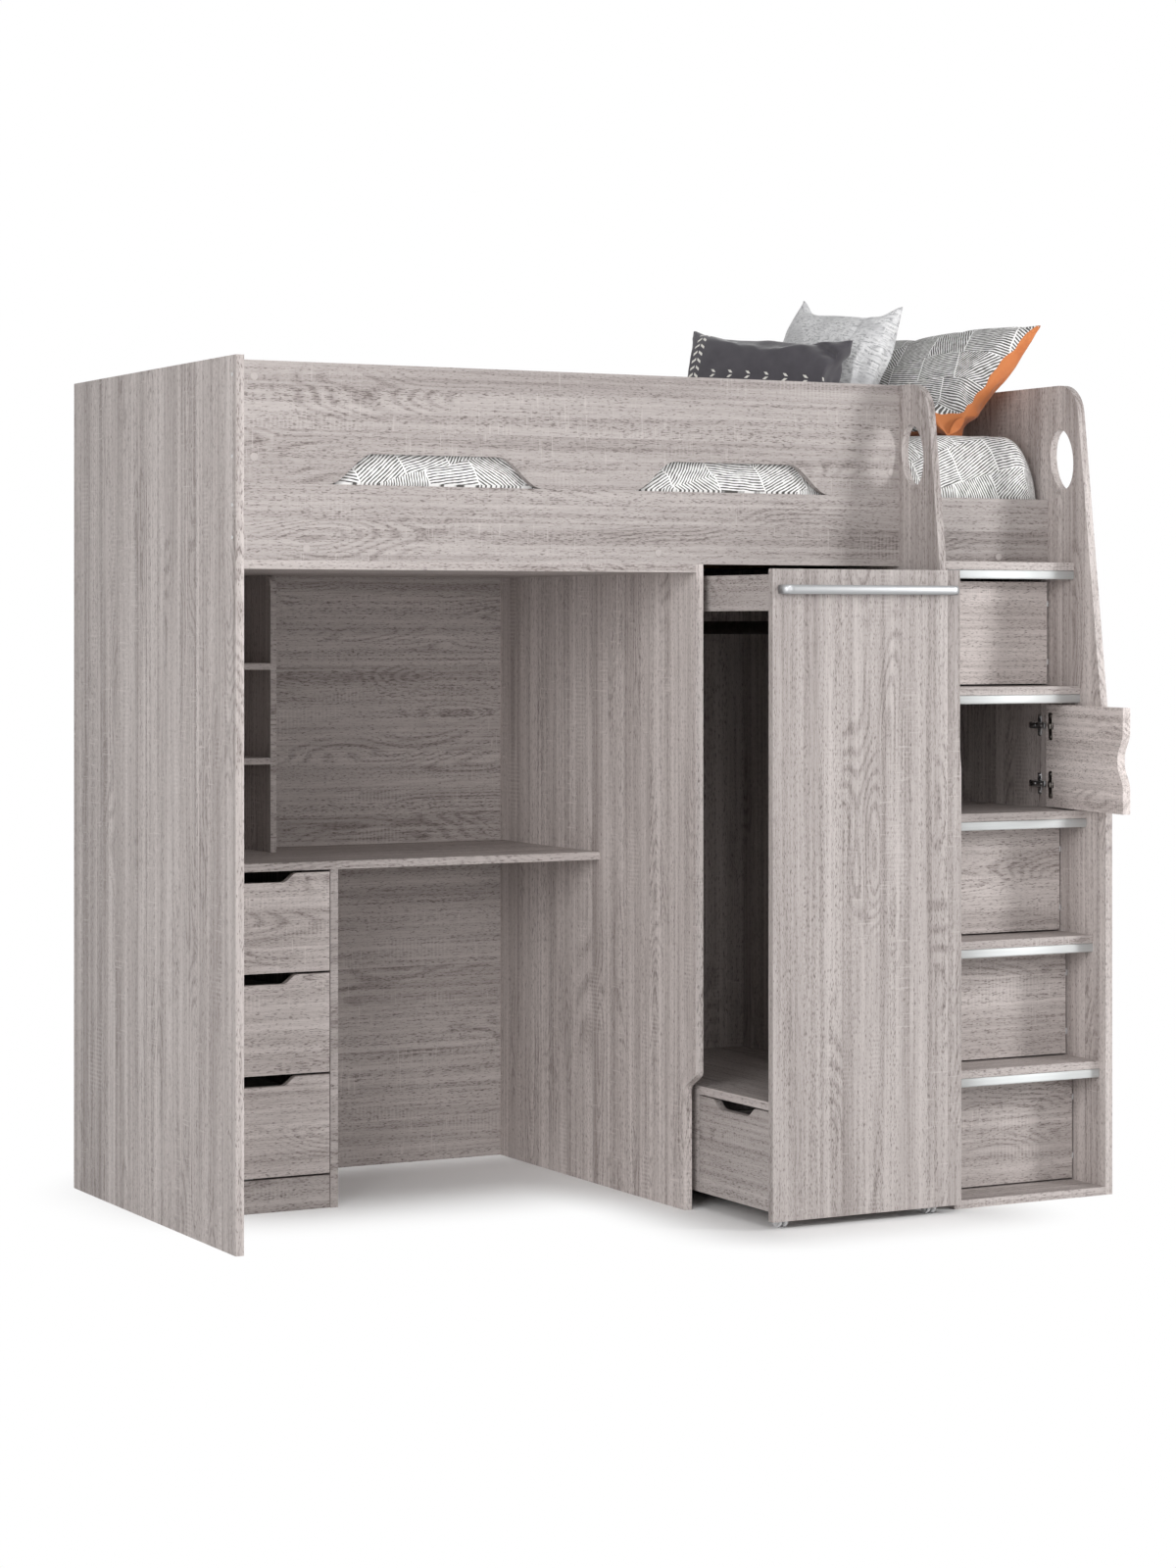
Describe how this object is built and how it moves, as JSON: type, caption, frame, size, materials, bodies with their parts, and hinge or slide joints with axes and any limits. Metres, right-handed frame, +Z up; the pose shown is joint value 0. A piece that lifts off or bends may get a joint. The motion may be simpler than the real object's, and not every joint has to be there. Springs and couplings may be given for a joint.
{
  "type": "high sleeper bed",
  "caption": "High sleeper bed in grey oak board with a desk, desk drawers, a bookcase, a pull-out wardrobe on castors and a stair of cupboards at the right.",
  "frame": {"origin": "middle of the object's plan, on the floor it stands on", "axes": "+Y away from the viewer who faces the front, along the bed's width; +X along the bed towards the stair; +Z up"},
  "size_m": [2.0322, 1.3682, 2.0599],
  "materials": {
    "grey_oak": "grey oak print on laminated board, fine long grain, matt",
    "drawer_board": "light grey laminated board, matt",
    "pine": "planed pine, bare",
    "aluminium": "satin anodised",
    "steel": "bright zinc plated",
    "dark_metal": "dark bronze plated",
    "clear_plastic": "clear moulded plastic, glossy",
    "cap_plastic": "grey moulded plastic, matt",
    "mattress_cloth": "white knitted cover",
    "hatch_cotton": "white cotton with dark grey hatching, and plain orange on the pillow's back",
    "light_wool": "pale grey heather weave",
    "dark_cotton": "charcoal cotton with small white stitched marks"
  },
  "bodies": {
    "frame": {"left_end_panel": "grey_oak", "right_end_panel": "grey_oak", "stair_side_panel": "grey_oak", "rear_strips": "grey_oak", "guard_board": "grey_oak", "front_side_rail": "grey_oak", "rear_boards": "grey_oak", "slat_base": "pine", "ceiling_boards": "grey_oak", "partition_panel": "grey_oak", "back_panels": "grey_oak", "desk_top": "grey_oak", "pedestal_boards": "grey_oak", "bookcase_boards": "grey_oak", "stair_treads": "grey_oak", "tread_bars": "aluminium", "stair_base_board": "grey_oak", "hinge_mounts": "steel", "cover_caps": "cap_plastic", "panel_screws": "steel", "desk_drawer_runners": "steel", "mattress": "mattress_cloth", "duvet": "hatch_cotton", "bed_pillow": "hatch_cotton", "light_cushion": "light_wool", "dark_cushion": "dark_cotton"},
    "wardrobe": {"wardrobe_front_panel": "grey_oak", "wardrobe_rear_panel": "grey_oak", "wardrobe_top_boards": "grey_oak", "wardrobe_right_side": "grey_oak", "wardrobe_base": "grey_oak", "wardrobe_shelf": "grey_oak", "wardrobe_lower_boards": "grey_oak", "hanging_rail": "dark_metal", "rail_sockets": "steel", "wardrobe_handle": "aluminium", "castor_frames": "steel", "side_drawer_runners": "steel"},
    "castor_wheels_1": {"castor_wheels_1": "clear_plastic"},
    "castor_wheels_2": {"castor_wheels_2": "clear_plastic"},
    "castor_wheels_3": {"castor_wheels_3": "clear_plastic"},
    "castor_wheels_4": {"castor_wheels_4": "clear_plastic"},
    "side_drawer": {"side_drawer_front": "grey_oak", "side_drawer_box": "drawer_board"},
    "desk_drawer_1": {"desk_drawer_front_1": "grey_oak", "desk_drawer_box_1": "drawer_board"},
    "desk_drawer_2": {"desk_drawer_front_2": "grey_oak", "desk_drawer_box_2": "drawer_board"},
    "desk_drawer_3": {"desk_drawer_front_3": "grey_oak", "desk_drawer_box_3": "drawer_board"},
    "cupboard_door_1": {"cupboard_door_1": "grey_oak", "hinge_cups_1": "dark_metal"},
    "cupboard_door_2": {"cupboard_door_2": "grey_oak", "hinge_cups_2": "dark_metal"},
    "cupboard_door_3": {"cupboard_door_3": "grey_oak", "hinge_cups_3": "dark_metal"},
    "cupboard_door_4": {"cupboard_door_4": "grey_oak", "hinge_cups_4": "dark_metal"},
    "cupboard_door_5": {"cupboard_door_5": "grey_oak", "hinge_cups_5": "dark_metal"}
  },
  "joints": [
    {"name": "wardrobe_slide", "type": "slide", "parent": "frame", "child": "wardrobe", "axis": [0, -1, 0], "range_m": [-0.265, 0.55]},
    {"name": "castor_1_spin", "type": "hinge", "parent": "wardrobe", "child": "castor_wheels_1", "pos_m": [0.136, -0.50891, 0.016], "axis": [1, 0, 0], "continuous": true},
    {"name": "castor_2_spin", "type": "hinge", "parent": "wardrobe", "child": "castor_wheels_2", "pos_m": [0.514, -0.50891, 0.016], "axis": [1, 0, 0], "continuous": true},
    {"name": "castor_3_spin", "type": "hinge", "parent": "wardrobe", "child": "castor_wheels_3", "pos_m": [0.136, 0.32209, 0.016], "axis": [1, 0, 0], "continuous": true},
    {"name": "castor_4_spin", "type": "hinge", "parent": "wardrobe", "child": "castor_wheels_4", "pos_m": [0.514, 0.32209, 0.016], "axis": [1, 0, 0], "continuous": true},
    {"name": "side_drawer_slide", "type": "slide", "parent": "wardrobe", "child": "side_drawer", "axis": [-1, 0, 0], "range_m": [0, 0.34]},
    {"name": "desk_drawer_1_slide", "type": "slide", "parent": "frame", "child": "desk_drawer_1", "axis": [0, -1, 0], "range_m": [0, 0.36]},
    {"name": "desk_drawer_2_slide", "type": "slide", "parent": "frame", "child": "desk_drawer_2", "axis": [0, -1, 0], "range_m": [0, 0.36]},
    {"name": "desk_drawer_3_slide", "type": "slide", "parent": "frame", "child": "desk_drawer_3", "axis": [0, -1, 0], "range_m": [0, 0.36]},
    {"name": "door_1_hinge", "type": "hinge", "parent": "frame", "child": "cupboard_door_1", "pos_m": [0.9935, -0.28291, 1.263], "axis": [0, 0, 1], "range_deg": [0, 90]},
    {"name": "door_2_hinge", "type": "hinge", "parent": "frame", "child": "cupboard_door_2", "pos_m": [0.9935, -0.30691, 0.982], "axis": [0, 0, 1], "range_deg": [-80, 10]},
    {"name": "door_3_hinge", "type": "hinge", "parent": "frame", "child": "cupboard_door_3", "pos_m": [0.9935, -0.33091, 0.701], "axis": [0, 0, 1], "range_deg": [0, 90]},
    {"name": "door_4_hinge", "type": "hinge", "parent": "frame", "child": "cupboard_door_4", "pos_m": [0.9935, -0.35491, 0.42], "axis": [0, 0, 1], "range_deg": [0, 90]},
    {"name": "door_5_hinge", "type": "hinge", "parent": "frame", "child": "cupboard_door_5", "pos_m": [0.9935, -0.37891, 0.139], "axis": [0, 0, 1], "range_deg": [0, 90]}
  ],
  "couplings": [
    {"joint": "castor_1_spin", "follows": "wardrobe_slide", "rad_per_m": 62.5},
    {"joint": "castor_2_spin", "follows": "wardrobe_slide", "rad_per_m": 62.5},
    {"joint": "castor_3_spin", "follows": "wardrobe_slide", "rad_per_m": 62.5},
    {"joint": "castor_4_spin", "follows": "wardrobe_slide", "rad_per_m": 62.5}
  ]
}
